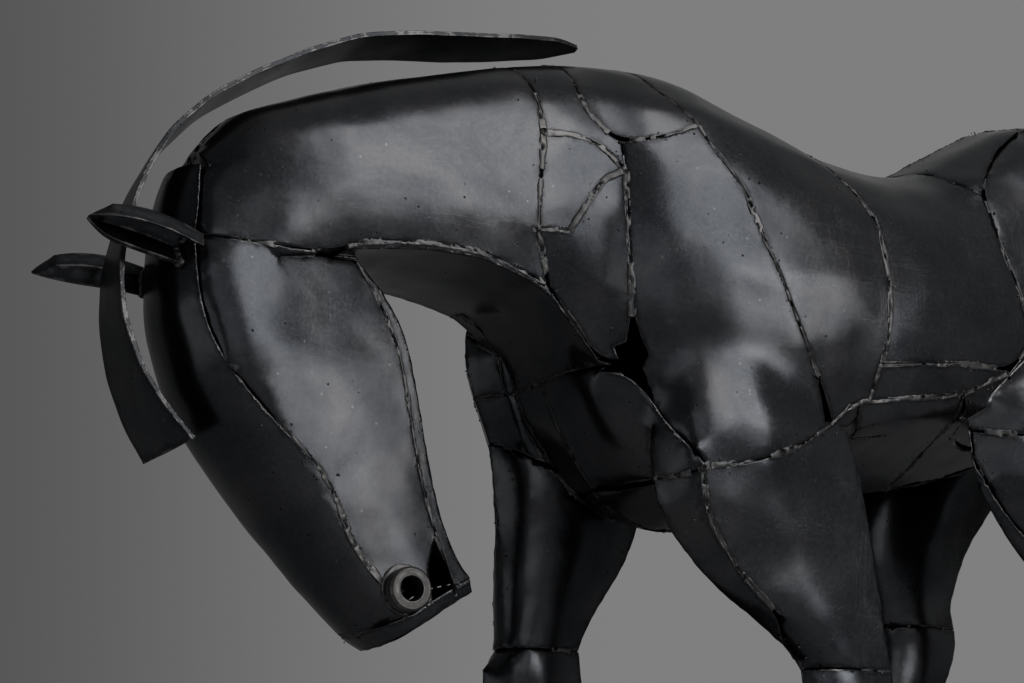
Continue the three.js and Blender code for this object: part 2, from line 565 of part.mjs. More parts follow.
// ---------- every plate by a point on it ----------
const PLATES = {
  face_plate: [-500, 0, 430],
  cheek_left: [-400, -48, 440],
  cheek_right: [-400, 48, 440],
  jaw_plate: [-350, 0, 430],
  muzzle_plate: [-345, 0, 318],
  neck_left: [-390, -60, 600],
  neck_right: [-390, 60, 600],
  throat_plate: [-330, 0, 545],
  crest_patch_left: [-270, -55, 670],
  neck_gusset_left: [-255, -70, 610],
  shoulder_front_left: [-245, -72, 550],
  shoulder_front_right: [-250, 70, 580],
  shoulder_point_right: [-262, 75, 515],
  withers_left: [-210, -60, 680],
  withers_right: [-210, 60, 680],
  shoulder_blade_left: [-170, -103, 530],
  shoulder_blade_right: [-170, 103, 530],
  chest_left: [-232, -40, 450],
  chest_right: [-232, 15, 450],
  rib_left: [-80, -106, 560],
  rib_right: [-80, 106, 560],
  loin_left: [10, -104, 580],
  loin_right: [10, 104, 580],
  flank_left: [10, -98, 495],
  flank_right: [10, 98, 495],
  belly_plate: [-10, 0, 428],
  groin_left: [90, -6, 448],
  groin_right: [90, 6, 448],
  croup_left: [90, -30, 690],
  croup_right: [90, 30, 690],
  haunch_left: [190, -101, 620],
  haunch_right: [190, 101, 620],
  foreleg_left_outer: [-120, -103, 380],
  foreleg_left_inner: [-110, -37, 370],
  knee_left: [-60, -94, 275],
  foreleg_right_outer: [-200, 103, 380],
  foreleg_right_inner: [-200, 38, 380],
  knee_right: [-216, 94, 290],
  thigh_left_outer: [170, -115, 420],
  thigh_left_inner: [180, -38, 400],
  hock_left: [268, -98, 285],
  thigh_right_outer: [110, 108, 430],
  thigh_right_inner: [110, 42, 384],
  hock_right: [105, 50, 310],
};
const group = new THREE.Group();
group.name = "scrap_metal_horse";
function addPiece(name, solid, finish) {
  const material = new THREE.MeshStandardMaterial(FINISH[finish]);
  material.name = finish;
  const mesh = new THREE.Mesh(toGeometry(solid), material);
  mesh.name = name;
  group.add(mesh);
}

function distanceTo(solid, point) {
  const mesh = solid.getMesh();
  const corner = (i) => new THREE.Vector3().fromArray(mesh.vertProperties, mesh.triVerts[i] * mesh.numProp);
  const nearest = new THREE.Vector3();
  let best = Infinity;
  for (let i = 0; i < mesh.triVerts.length; i += 3) {
    new THREE.Triangle(corner(i), corner(i + 1), corner(i + 2)).closestPointToPoint(point, nearest);
    best = Math.min(best, nearest.distanceTo(point));
  }
  return best;
}

const spare = [...plates];
for (const [name, at] of Object.entries(PLATES)) {
  const point = new THREE.Vector3(...at);
  const gaps = spare.map((p) => distanceTo(p, point));
  const pick = gaps.indexOf(Math.min(...gaps));
  addPiece(name, spare[pick], "patina");
  spare.splice(pick, 1);
}

// ---------- lower legs and hooves ----------
const LOWER = {
  cannon_fore_left: FORE_LEFT_LOW,
  cannon_fore_right: FORE_RIGHT_LOW,
  cannon_hind_left: HIND_LEFT_LOW,
  cannon_hind_right: HIND_RIGHT_LOW,
};
for (const [name, stations] of Object.entries(LOWER)) {
  addPiece(name, form(stations, LEG_N), "patina");
}
function hoof(stations) {
  const top = stations[stations.length - 1];
  const z = BASE.thick + HOOF.height + GAP;
  const ring = (height, grow, forward) => ({
    ...top,
    front: [top.front[0] - grow - forward, height],
    rear: [top.rear[0] + grow * 0.4 - forward * 0.3, height],
    wide: top.wide + grow,
    foot: top.foot + grow,
  });
  const rings = [
    ring(z, 0, 0),
    ring(BASE.thick + 12, HOOF.flare * 0.8, 5),
    ring(BASE.thick + GAP, HOOF.flare, 7),
  ];
  return form(rings, LEG_N);
}
addPiece("hoof_fore_left", hoof(FORE_LEFT_LOW), "dark");
addPiece("hoof_fore_right", hoof(FORE_RIGHT_LOW), "dark");
addPiece("hoof_hind_left", hoof(HIND_LEFT_LOW), "dark");
addPiece("hoof_hind_right", hoof(HIND_RIGHT_LOW), "dark");

// ---------- head fittings, mane strap, tail and base ----------
for (const [side, name] of [[-1, "nostril_ring_left"], [1, "nostril_ring_right"]]) {
  const middle = side * (NOSTRIL.y + RING.depth / 2) - RING.depth / 2;
  addPiece(name, tube(RING.outer, RING.bore, RING.depth).translate([NOSTRIL.x, middle, NOSTRIL.z]), "bare");
}
const swell = (stations, n) => loft(stations.map((s) => ringPoints(s, -GAP - 0.1, n)));
const clear = [swell(HEAD, BODY_N), swell(NECK, BODY_N), swell(TRUNK, TRUNK_N)].reduce((a, b) => a.add(b));
const largest = (solid) => solid.decompose().reduce((a, b) => (a.volume() > b.volume() ? a : b));
for (const [name, spec] of Object.entries(EARS)) {
  addPiece(name, largest(ear(spec).subtract(clear)), "patina");
}
addPiece("mane_strap", largest(strip(STRAP, SHEET).subtract(clear)), "patina");
addPiece("tail", largest(strip(TAIL, 5).subtract(clear)), "patina");

const plan = new THREE.Shape();
const [bx, by, br] = [BASE.length / 2, BASE.width / 2, BASE.corner];
plan.moveTo(-bx + br, -by);
plan.lineTo(bx - br, -by);
plan.absarc(bx - br, -by + br, br, -Math.PI / 2, 0);
plan.lineTo(bx, by - br);
plan.absarc(bx - br, by - br, br, 0, Math.PI / 2);
plan.lineTo(-bx + br, by);
plan.absarc(-bx + br, by - br, br, Math.PI / 2, Math.PI);
plan.lineTo(-bx, -by + br);
plan.absarc(-bx + br, -by + br, br, Math.PI, Math.PI * 1.5);
const slab = new THREE.ExtrudeGeometry(plan, { depth: BASE.thick, bevelEnabled: false, curveSegments: 3 });
addPiece("base_plate", toManifold(slab), "dark");

export default group;
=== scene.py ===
import math

import bmesh
import bpy
import numpy as np
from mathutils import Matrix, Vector, noise
from mathutils.bvhtree import BVHTree
from mathutils.kdtree import KDTree


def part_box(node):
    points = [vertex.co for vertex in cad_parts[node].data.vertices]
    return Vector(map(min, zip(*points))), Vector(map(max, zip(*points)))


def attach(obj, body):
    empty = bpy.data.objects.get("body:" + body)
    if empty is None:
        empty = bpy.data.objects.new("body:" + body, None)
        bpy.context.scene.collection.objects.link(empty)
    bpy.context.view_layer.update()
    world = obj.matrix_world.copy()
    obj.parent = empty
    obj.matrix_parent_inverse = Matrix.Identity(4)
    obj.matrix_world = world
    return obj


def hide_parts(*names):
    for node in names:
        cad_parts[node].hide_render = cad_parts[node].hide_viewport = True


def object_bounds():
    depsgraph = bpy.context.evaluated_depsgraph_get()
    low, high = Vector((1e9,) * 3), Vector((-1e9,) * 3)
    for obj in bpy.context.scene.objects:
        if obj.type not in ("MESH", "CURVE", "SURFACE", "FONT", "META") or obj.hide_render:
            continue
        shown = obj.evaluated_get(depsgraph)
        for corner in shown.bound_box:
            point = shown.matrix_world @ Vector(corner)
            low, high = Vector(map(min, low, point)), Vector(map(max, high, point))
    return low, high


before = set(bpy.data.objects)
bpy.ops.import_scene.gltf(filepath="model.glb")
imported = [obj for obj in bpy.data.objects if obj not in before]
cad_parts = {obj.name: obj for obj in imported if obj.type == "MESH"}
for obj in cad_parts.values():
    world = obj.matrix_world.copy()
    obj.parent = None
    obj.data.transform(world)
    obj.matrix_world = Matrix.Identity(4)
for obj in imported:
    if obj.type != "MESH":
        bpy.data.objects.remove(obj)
cad_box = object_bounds()

# A horse welded from curved offcuts of 3 mm sheet steel. Every plate is worked up from its own CAD
# solid: its facets are rolled smooth, the whole skin takes the same shallow dents, and a weld bead
# is run along each line where two plates meet.

MM = 0.001
SEAM_REACH = 2.2 * MM           # two plate edges closer than this are welded together
FOLD_ANGLE = math.radians(52)   # a sharper bend than this is an edge of the sheet, and stays crisp
RING_FOLD = math.radians(32)    # the same for the turned rings, whose bevels are shallow
MERGE_REACH = 0.01 * MM         # two points of a solid closer than this are one
SLIVER = 0.02 * MM              # an edge of a solid shorter than this is taken out

ROLL_STEP = 9 * MM              # mesh size while the facets of a plate are rolled smooth,
RING_ROLL_STEP = 2 * MM         # of a ring,
LOOSE_ROLL_STEP = 4 * MM        # and of an ear, the strap or the tail
EDGE_STEP = 2.2 * MM            # final mesh size at a plate's edge
FACE_STEP = 7 * MM              # final mesh size in the middle of a plate
HIDDEN_STEP = 14 * MM           # final mesh size inside the horse
RING_STEPS = (0.7 * MM, 3 * MM)     # final mesh sizes at the edges and on the faces of a ring,
LOOSE_STEPS = (1.3 * MM, 5 * MM)    # of an ear, the strap or the tail,
BASE_STEPS = (8 * MM, 25 * MM)      # and of the base plate
EDGE_BAND = 3 * MM              # the fine mesh reaches this far in from the edge
STEP_GROWTH = 0.6               # how fast the mesh coarsens beyond that
FOLD_MARKS = 1.5 * MM           # spacing of the marks that measure the way to the nearest fold
SPLIT_ROUNDS = 30
SEEN_FACE = 0.4                 # an edge seen less than this is meshed as hidden
SEEN_RIM = 0.3                  # a rim point seen less than this takes no weld
ROLL_PASSES = 9
RING_PASSES = 2
SETTLE_PASSES = 3
TINY = 1e-18                    # keeps a length of nothing from dividing by zero

RAYS_ROUND = 6                  # rays fanned about a surface direction, besides the one along it
RAY_LEAN = 0.6
RAY_LIFT = 1.5 * MM
RAY_REACH = 2.0
RAYS_FREE = 2                   # a place is outside when this many of them leave the horse

# how far apart and how deep each size of hammer mark is
DENTS = ((75 * MM, 1.5 * MM), (28 * MM, 0.55 * MM), (12 * MM, 0.12 * MM))
STILL_HEIGHT = 0.06             # nothing under this height is dented
DENT_SEED = 3                   # the dents and the waving edges come out the same in every run
noise.seed_set(DENT_SEED)
EDGE_WANDER = (7 * MM, 0.45 * MM)   # the hand-cut edge waves about its line
WANDER_FOOT = 0.02              # no edge waves below this height,
WANDER_RISE = 0.03              # and all do once this far above it

# the cheeks are beaten out high up, placed as shares of the left cheek's box
CHEEK_LOW, CHEEK_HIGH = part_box("cheek_left")
SWELLING_X = CHEEK_LOW.x + (CHEEK_HIGH.x - CHEEK_LOW.x) * 0.1608
SWELLING_Z = CHEEK_LOW.z + (CHEEK_HIGH.z - CHEEK_LOW.z) * 0.7210
SWELLING_RADIUS = 0.032
SWELLING_HEIGHT = 4.5 * MM
SWELLING_FADE = 0.03            # it dies away this close to the middle of the horse

HEAD_NODES = ["face_plate", "cheek_left", "cheek_right", "jaw_plate", "muzzle_plate"]
NECK_NODES = [
    "neck_left",
    "neck_right",
    "throat_plate",
    "crest_patch_left",
    "neck_gusset_left",
    "shoulder_front_left",
    "shoulder_front_right",
    "shoulder_point_right",
    "withers_left",
    "withers_right",
]
RING_NODES = ["nostril_ring_left", "nostril_ring_right"]
DARK_NODES = ["hoof_fore_left", "hoof_fore_right", "hoof_hind_left", "hoof_hind_right", "base_plate"]
LOOSE_NODES = ["ear_left", "ear_right", "mane_strap", "tail"]


def leg_part(name):
    return name.startswith(("foreleg", "knee", "thigh", "hock", "cannon"))


# ---------------------------------------------------------------- mesh work on plain arrays

def solid_arrays(node):
    """Corner points and triangles of a CAD solid, as arrays, with its doubled points merged."""
    work = bmesh.new()
    work.from_mesh(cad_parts[node].data)
    bmesh.ops.remove_doubles(work, verts=work.verts, dist=MERGE_REACH)
    bmesh.ops.dissolve_degenerate(work, edges=work.edges, dist=SLIVER)
    bmesh.ops.triangulate(work, faces=work.faces)
    work.verts.index_update()
    points = np.array([v.co[:] for v in work.verts])
    faces = np.array([[v.index for v in f.verts] for f in work.faces])
    work.free()
    return points, faces


def face_normals(points, faces):
    a, b, c = (points[faces[:, i]] for i in range(3))
    normals = np.cross(b - a, c - a)
    return normals / np.maximum(np.linalg.norm(normals, axis=1, keepdims=True), TINY)


def edge_table(faces):
    """Every edge once, as a sorted pair of points, and the three edges of each face."""
    pairs = np.sort(faces[:, [[0, 1], [1, 2], [2, 0]]].reshape(-1, 2), axis=1)
    edges, of_face = np.unique(pairs, axis=0, return_inverse=True)
    return edges, of_face.reshape(-1, 3)


def keys(pairs):
    return pairs[:, 0].astype(np.int64) * (1 << 32) + pairs[:, 1]


def folded_edges(points, faces, sharpest=FOLD_ANGLE):
    """The edges where the surface turns more sharply than the angle given."""
    edges, of_face = edge_table(faces)
    normals = face_normals(points, faces)
    total = np.zeros((len(edges), 3))
    for side in range(3):
        np.add.at(total, of_face[:, side], normals)
    # two unit normals at angle t add up to a length of 2 cos(t / 2)
    return edges[np.linalg.norm(total, axis=1) < 2 * math.cos(sharpest / 2)]


def corner_tree(points):
    tree = KDTree(len(points))
    for index, point in enumerate(points):
        tree.insert(point, index)
    tree.balance()
    return tree


def marks_on(points, edges, step):
    """Points strung along edges, no further apart than step."""
    strung = []
    for a, b in edges:
        count = max(1, math.ceil(np.linalg.norm(points[b] - points[a]) / step))
        strung.extend(points[a] + (points[b] - points[a]) * i / count for i in range(count + 1))
    return strung


def split_once(points, faces, folds, wanted):
    """Halves the edges that are longer than wanted, the longest of each face first."""
    edges, of_face = edge_table(faces)
    length = np.linalg.norm(points[edges[:, 0]] - points[edges[:, 1]], axis=1)
    excess = length / wanted(edges)
    rows = np.arange(len(faces))
    longest = of_face[rows, np.argmax(excess[of_face], axis=1)]
    marked = np.zeros(len(edges), bool)
    marked[longest] = True
    marked &= excess > 1
    if not marked.any():
        return None
    middle = np.full(len(edges), -1)
    middle[marked] = len(points) + np.arange(marked.sum())
    fresh = points[edges[marked]].mean(axis=1)
    cuts = marked[of_face]
    count = cuts.sum(axis=1)
    pieces = [faces[count == 0]]
    whole = np.vstack([points, fresh])
    for cut_count, lead in ((1, 1), (2, 0), (3, 0)):
        chosen = np.where(count == cut_count)[0]
        if not len(chosen):
            continue
        # turn each face so that its only cut edge comes first, or its only whole edge last
        if cut_count == 1:
            turn = np.argmax(cuts[chosen], axis=1)
        elif cut_count == 2:
            turn = (np.argmin(cuts[chosen], axis=1) + 1) % 3
        else:
            turn = np.zeros(len(chosen), int)
        order = (turn[:, None] + np.arange(3)) % 3
        a, b, c = np.take_along_axis(faces[chosen], order, axis=1).T
        p, q, r = middle[np.take_along_axis(of_face[chosen], order, axis=1)].T
        if cut_count == 1:
            pieces += [np.stack([a, p, c], 1), np.stack([p, b, c], 1)]
        elif cut_count == 2:
            pieces.append(np.stack([p, b, q], 1))
            one_way = np.linalg.norm(whole[a] - whole[q], axis=1)
            other_way = np.linalg.norm(whole[p] - whole[c], axis=1)
            near = one_way < other_way
            first = np.where(near[:, None], np.stack([a, p, q], 1), np.stack([a, p, c], 1))
            second = np.where(near[:, None], np.stack([a, q, c], 1), np.stack([p, q, c], 1))
            pieces += [first, second]
        else:
            pieces += [np.stack(t, 1) for t in ((a, p, r), (p, b, q), (r, q, c), (p, q, r))]
    is_fold = np.isin(keys(edges), keys(folds)) if len(folds) else np.zeros(len(edges), bool)
    kept = edges[is_fold & ~marked]
    halved = edges[is_fold & marked]
    middles = middle[is_fold & marked]
    halves = [np.stack([halved[:, end], middles], 1) for end in (0, 1)]
    new_folds = np.vstack([kept, *halves])
    return whole, np.vstack(pieces), np.sort(new_folds, axis=1), edges[marked]


def refine(points, faces, folds, near_step, far_step, band, seen=None):
    """Splits a mesh until its edges are near_step long at the folds and far_step long far from them."""
    tree = corner_tree(marks_on(points, folds, FOLD_MARKS)) if len(folds) else None
    seen = np.ones(len(points)) if seen is None else seen

    def depth(batch):
        if tree is None:
            return np.full(len(batch), 1.0)
        return np.array([tree.find(p)[2] for p in batch])

    away = depth(points)
    for _ in range(SPLIT_ROUNDS):
        def wanted(edges):
            inside = np.clip((away[edges].mean(axis=1) - band) * STEP_GROWTH, 0, None)
            step = np.minimum(near_step + inside, far_step)
            return np.where(seen[edges].mean(axis=1) > SEEN_FACE, step, HIDDEN_STEP)
        split = split_once(points, faces, folds, wanted)
        if split is None:
            break
        before = len(points)
        points, faces, folds, parents = split
        away = np.concatenate([away, depth(points[before:])])
        seen = np.concatenate([seen, seen[parents].mean(axis=1)])
    return points, faces, folds, away, seen


def neighbour_mean(points, edges, count):
    both = np.vstack([edges, edges[:, ::-1]])
    total = [np.bincount(both[:, 0], points[both[:, 1], k], minlength=count) for k in range(3)]
    degree = np.bincount(both[:, 0], minlength=count)
    return np.stack(total, 1) / np.maximum(degree, 1)[:, None], degree


def roll_smooth(points, faces, folds, passes, held=None):
    """Evens out the facets. Points on a fold only slide along it, and its corners stay put."""
    edges, _ = edge_table(faces)
    count = len(points)
    for _ in range(passes):
        mean, _ = neighbour_mean(points, edges, count)
        if len(folds):
            along, degree = neighbour_mean(points, folds, count)
            mean = np.where((degree == 2)[:, None], along, mean)
            mean = np.where(((degree > 0) & (degree != 2))[:, None], points, mean)
        moved = points + 0.5 * (mean - points)
        points = moved if held is None else np.where(held[:, None], points, moved)
    return points


def point_normals(points, faces):
    a, b, c = (points[faces[:, i]] for i in range(3))
    weighted = np.cross(b - a, c - a)
    total = np.zeros_like(points)
    for side in range(3):
        np.add.at(total, faces[:, side], weighted)
    return total / np.maximum(np.linalg.norm(total, axis=1, keepdims=True), TINY)


def swelling(point):
    """How far the beaten cheeks push a point out to its own side of the horse."""
    away = ((point[0] - SWELLING_X) ** 2 + (point[2] - SWELLING_Z) ** 2) / SWELLING_RADIUS ** 2
    side = max(-1, min(1, point[1] / SWELLING_FADE))
    return SWELLING_HEIGHT * math.exp(-away / 2) * side


def dented(points):
    """Moves every point by the dents, the same way wherever two pieces share a place."""
    moved = []
    for point in points:
        shift = Vector((0, swelling(point), 0))
        for spacing, depth in DENTS:
            shift += noise.noise_vector(Vector(point) / spacing) * depth
        still = min(1, max(0, (point[2] - STILL_HEIGHT) / STILL_HEIGHT))
        moved.append(Vector(point) + shift * still)
    return np.array(moved)


def wandering(points, rim):
    """Waves the cut edge of a sheet about its line."""
    spacing, reach = EDGE_WANDER
    moved = points.copy()
    for index in np.where(rim)[0]:
        place = Vector(points[index])
        shift = noise.noise_vector(place / spacing) * reach
        moved[index] += np.array(shift) * min(1, max(0, (place.z - WANDER_FOOT) / WANDER_RISE))
    return moved


def made_object(name, points, faces, attributes):
    mesh = bpy.data.meshes.new(name)
    mesh.from_pydata(points.tolist(), [], faces.tolist())
    for label, (kind, values) in attributes.items():
        field = "vector" if kind == "FLOAT_VECTOR" else "value"
        stored = mesh.attributes.new(label, kind, "POINT")
        stored.data.foreach_set(field, np.ravel(values).astype(np.float32))
    mesh.polygons.foreach_set("use_smooth", [True] * len(mesh.polygons))
    mesh.update()
    made = bpy.data.objects.new(name, mesh)
    bpy.context.scene.collection.objects.link(made)
    return made


# ---------------------------------------------------------------- plates and loose pieces

def rolled_piece(node):
    """A CAD solid with its facets rolled smooth: points, faces and folds."""
    points, faces = solid_arrays(node)
    folds = folded_edges(points, faces, RING_FOLD if node in RING_NODES else FOLD_ANGLE)
    if node == "base_plate":
        return points, faces, folds
    step = ROLL_STEP
    if node in RING_NODES:
        step = RING_ROLL_STEP
    elif node in LOOSE_NODES:
        step = LOOSE_ROLL_STEP
    points, faces, folds, _, _ = refine(points, faces, folds, step, step, 0)
    passes = RING_PASSES if node in RING_NODES else ROLL_PASSES
    return roll_smooth(points, faces, folds, passes), faces, folds


def open_to_air(tree, place, outward):
    """True where rays fanned about outward leave the horse."""
    side = outward.orthogonal().normalized()
    other = outward.cross(side)
    start = place + outward * RAY_LIFT
    free = 0
    for turn in range(RAYS_ROUND + 1):
        angle = math.tau * turn / RAYS_ROUND
        lean = 0 if turn == RAYS_ROUND else RAY_LEAN
        ray = (outward + (side * math.cos(angle) + other * math.sin(angle)) * lean).normalized()
        if tree.ray_cast(start, ray, RAY_REACH)[0] is None:
            free += 1
    return free >= RAYS_FREE


def finished_piece(node, tree):
    """The rolled piece divided finely where it is seen, most finely at its edges."""
    points, faces, folds = rolled[node]
    if node == "base_plate":
        return refine(points, faces, folds, *BASE_STEPS, 0)
    if node in RING_NODES + LOOSE_NODES:
        steps = RING_STEPS if node in RING_NODES else LOOSE_STEPS
        points, faces, folds, away, seen = refine(points, faces, folds, *steps, EDGE_BAND)
    else:
        normals = point_normals(points, faces)
        lit = [open_to_air(tree, Vector(p), Vector(n)) for p, n in zip(points, normals)]
        seen = np.array(lit, float)
        points, faces, folds, away, seen = refine(
            points, faces, folds, EDGE_STEP, FACE_STEP, EDGE_BAND, seen
        )
    return roll_smooth(points, faces, folds, SETTLE_PASSES), faces, folds, away, seen


def whole_skin():
    """One search tree over every CAD solid, to tell the outside of the horse from its hollow."""
    points, faces, start = [], [], 0
    for node in sorted(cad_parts):
        p, f = solid_arrays(node)
        points.extend(Vector(q) for q in p)
        faces.extend((f + start).tolist())
        start += len(p)
    return BVHTree.FromPolygons(points, faces)


skin_tree = whole_skin()
rolled = {node: rolled_piece(node) for node in sorted(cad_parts)}
worked = {node: finished_piece(node, skin_tree) for node in sorted(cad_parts)}

# ---------------------------------------------------------------- where two plates meet

WELDED = [n for n in sorted(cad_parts) if n not in RING_NODES + DARK_NODES + LOOSE_NODES]


def outer_rims(tree):
    """For each welded plate, the points of its outer edge and the outward direction at each."""
    rims = {}
    for node in WELDED:
        points, faces, folds, _, seen = worked[node]
        normals = point_normals(points, faces)
        on_rim = [i for i in np.unique(folds) if seen[i] > SEEN_RIM]
        rims[node] = {
            int(i): Vector(normals[i])
            for i in on_rim
            if open_to_air(tree, Vector(points[i]), Vector(normals[i]))
        }
    return rims


def seam_runs(rims):
    """Every stretch of plate edge that has another plate's edge beside it, once for each pair."""
    owners, places, directions = [], [], []
    for node, rim in rims.items():
        for index, outward in rim.items():
            owners.append(node)
            places.append(worked[node][0][index])
            directions.append(outward)
    tree = corner_tree(places)
    runs = {}
    for node, rim in rims.items():
        points, _, folds, _, _ = worked[node]
        mates = {}
        for index, outward in rim.items():
            close = tree.find_range(points[index], SEAM_REACH)
            beside = [(d, i) for _, i, d in close if owners[i] != node]
            if beside:
                mate = min(beside)[1]
                if owners[mate] > node:
                    middle = (points[index] + places[mate]) / 2
                    mates[index] = (middle, (outward + directions[mate]).normalized())
        pairs = [(a, b) for a, b in folds.tolist() if a in mates and b in mates]
        runs[node] = (mates, pairs)
    return runs


rims = outer_rims(skin_tree)
seams = seam_runs(rims)


# ---------------------------------------------------------------- nodes made in script

def input_socket(tree, label, kind, value):
    socket = tree.interface.new_socket(label, in_out="INPUT", socket_type=kind)
    if value is not None:
        socket.default_value = value
    return socket


def output_socket(tree, label, kind):
    return tree.interface.new_socket(label, in_out="OUTPUT", socket_type=kind)


class Wiring:
    """Short words for adding nodes to a tree and joining their sockets."""

    def __init__(self, tree):
        self.tree = tree

    def add(self, kind, settings=None, **values):
        node = self.tree.nodes.new(kind)
        for label, setting in (settings or {}).items():
            setattr(node, label, setting)
        for label, value in values.items():
            self.put(node.inputs[label.replace("_", " ")], value)
        return node

    def put(self, socket, value):
        if isinstance(value, bpy.types.NodeSocket):
            self.tree.links.new(value, socket)
        elif isinstance(value, bpy.types.Node):
            self.tree.links.new(value.outputs[0], socket)
        else:
            socket.default_value = value

    def math(self, operation, *values, clamp=False):
        node = self.tree.nodes.new("ShaderNodeMath")
        node.operation = operation
        node.use_clamp = clamp
        for socket, value in zip(node.inputs, values):
            self.put(socket, value)
        return node.outputs[0]

    def vector(self, operation, *values, scale=None):
        node = self.tree.nodes.new("ShaderNodeVectorMath")
        node.operation = operation
        for socket, value in zip(node.inputs, values):
            self.put(socket, value)
        if scale is not None:
            self.put(node.inputs["Scale"], scale)
        return node.outputs["Value"] if operation in ("DOT_PRODUCT", "LENGTH") else node.outputs[0]

    def ramp(self, value, low, high, to_low=0.0, to_high=1.0):
        """A smooth step from to_low to to_high as value goes from low to high."""
        node = self.tree.nodes.new("ShaderNodeMapRange")
        node.interpolation_type = "SMOOTHSTEP"
        for socket, given in zip(node.inputs, (value, low, high, to_low, to_high)):
            self.put(socket, given)
        return node.outputs[0]

    def noise(self, vector, scale, detail=3.0, roughness=0.5, distortion=0.0):
        return self.add(
            "ShaderNodeTexNoise",
            Vector=vector,
            Scale=scale,
            Detail=detail,
            Roughness=roughness,
            Distortion=distortion,
        ).outputs["Fac"]

    def mix(self, share, first, second):
        node = self.tree.nodes.new("ShaderNodeMix")
        node.data_type = "RGBA"
        self.put(node.inputs[0], share)
        self.put(node.inputs[6], first)
        self.put(node.inputs[7], second)
        return node.outputs[2]


# ---------------------------------------------------------------- weld beads, run by a node tree

BEAD_RADIUS = 2.1 * MM
BEAD_STEP = 1.4 * MM
BEAD_SIDES = 10
BEAD_HEIGHT = 0.38          # the bead is ground down to this share of its round height
PIT_SPACING = 7 * MM
BEAD_SEED = 4.0
BEAD_LUMP = 2.2 * MM
PIT_DEPTH = 2.2 * MM
DITCH_DEPTH = 0.9 * MM      # the crown is hollowed this much where the torch lingered
RING_BEAD_HEIGHT = 0.7
FOOT_BEAD_HEIGHT = 0.8
FOOT_BEAD_RADIUS = 2.6 * MM


def bead_tree(material):
    """Runs a lumpy, half ground weld bead with burnt pits along every path it is given."""
    tree = bpy.data.node_groups.new("weld bead", "GeometryNodeTree")
    input_socket(tree, "Paths", "NodeSocketGeometry", None)
    input_socket(tree, "Bead Radius", "NodeSocketFloat", BEAD_RADIUS)
    input_socket(tree, "Step", "NodeSocketFloat", BEAD_STEP)
    input_socket(tree, "Sides", "NodeSocketInt", BEAD_SIDES)
    input_socket(tree, "Height", "NodeSocketFloat", BEAD_HEIGHT)
    input_socket(tree, "Pit Spacing", "NodeSocketFloat", PIT_SPACING)
    input_socket(tree, "Seed", "NodeSocketFloat", BEAD_SEED)
    output_socket(tree, "Geometry", "NodeSocketGeometry")
    w = Wiring(tree)
    given = w.add("NodeGroupInput").outputs
    place = w.add("GeometryNodeInputPosition").outputs[0]
    seeded = w.vector("ADD", place, w.add("ShaderNodeCombineXYZ", Z=given["Seed"]))
    curve = w.add("GeometryNodeMeshToCurve", Mesh=given["Paths"])
    even = w.add("GeometryNodeResampleCurve", {"mode": "LENGTH"}, Curve=curve, Length=given["Step"])
    centred = w.add("GeometryNodeStoreNamedAttribute", {"data_type": "FLOAT_VECTOR", "domain": "POINT"},
                    Geometry=even, Name="path_centre", Value=place)
    presence = w.ramp(w.noise(seeded, 24.0, 3.0), 0.36, 0.66, 0.30, 1.35)
    sized = w.math("MULTIPLY", given["Bead Radius"], presence)
    stored = w.add("GeometryNodeStoreNamedAttribute", {"data_type": "FLOAT", "domain": "POINT"},
                   Geometry=centred, Name="bead_size", Value=presence)
    ring = w.add("GeometryNodeCurvePrimitiveCircle", Resolution=given["Sides"], Radius=given["Bead Radius"])
    swept = w.add("GeometryNodeCurveToMesh", Curve=stored, Profile_Curve=ring.outputs["Curve"],
                  Scale=presence, Fill_Caps=True)
    centre = w.add("GeometryNodeInputNamedAttribute", {"data_type": "FLOAT_VECTOR"}, Name="path_centre")
    outward = w.add("GeometryNodeInputNamedAttribute", {"data_type": "FLOAT_VECTOR"}, Name="skin_normal")
    off = w.vector("SUBTRACT", place, centre.outputs[0])
    up = w.vector("NORMALIZE", outward.outputs[0])
    rise = w.vector("DOT_PRODUCT", off, up)
    flat = w.vector("SCALE", up, scale=w.math("MULTIPLY", rise, w.math("SUBTRACT", given["Height"], 1.0)))
    crown = w.ramp(w.math("DIVIDE", rise, sized), 0.45, 0.95)
    lumps = w.math("SUBTRACT", w.noise(seeded, 150.0, 4.0, 0.6), 0.5)
    lumpy = w.vector("SCALE", w.vector("NORMALIZE", off), scale=w.math("MULTIPLY", lumps, BEAD_LUMP))
    pits = w.add("ShaderNodeTexVoronoi", Vector=seeded, Scale=w.math("DIVIDE", 1.0, given["Pit Spacing"]))
    burn = w.ramp(pits.outputs["Distance"], 0.34, 0.18)
    ditch = w.ramp(w.noise(seeded, 65.0, 2.0), 0.40, 0.52)
    sink = w.math("ADD", w.math("MULTIPLY", burn, PIT_DEPTH),
                  w.math("MULTIPLY", w.math("MULTIPLY", ditch, crown), DITCH_DEPTH))
    sunk = w.vector("SCALE", up, scale=w.math("MULTIPLY", sink, -1.0))
    total = w.vector("ADD", w.vector("ADD", flat, lumpy), sunk)
    marked = w.add("GeometryNodeStoreNamedAttribute", {"data_type": "FLOAT", "domain": "POINT"},
                   Geometry=swept, Name="burn", Value=burn)
    ridged = w.add("GeometryNodeStoreNamedAttribute", {"data_type": "FLOAT", "domain": "POINT"},
                   Geometry=marked, Name="crown", Value=crown)
    shaped = w.add("GeometryNodeSetPosition", Geometry=ridged, Offset=total)
    smooth = w.add("GeometryNodeSetShadeSmooth", Geometry=shaped)
    real = w.add("GeometryNodeRealizeInstances", Geometry=smooth)
    finished = w.add("GeometryNodeSetMaterial", Geometry=real, Material=material)
    result = w.add("NodeGroupOutput")
    w.put(result.inputs[0], finished)
    return tree


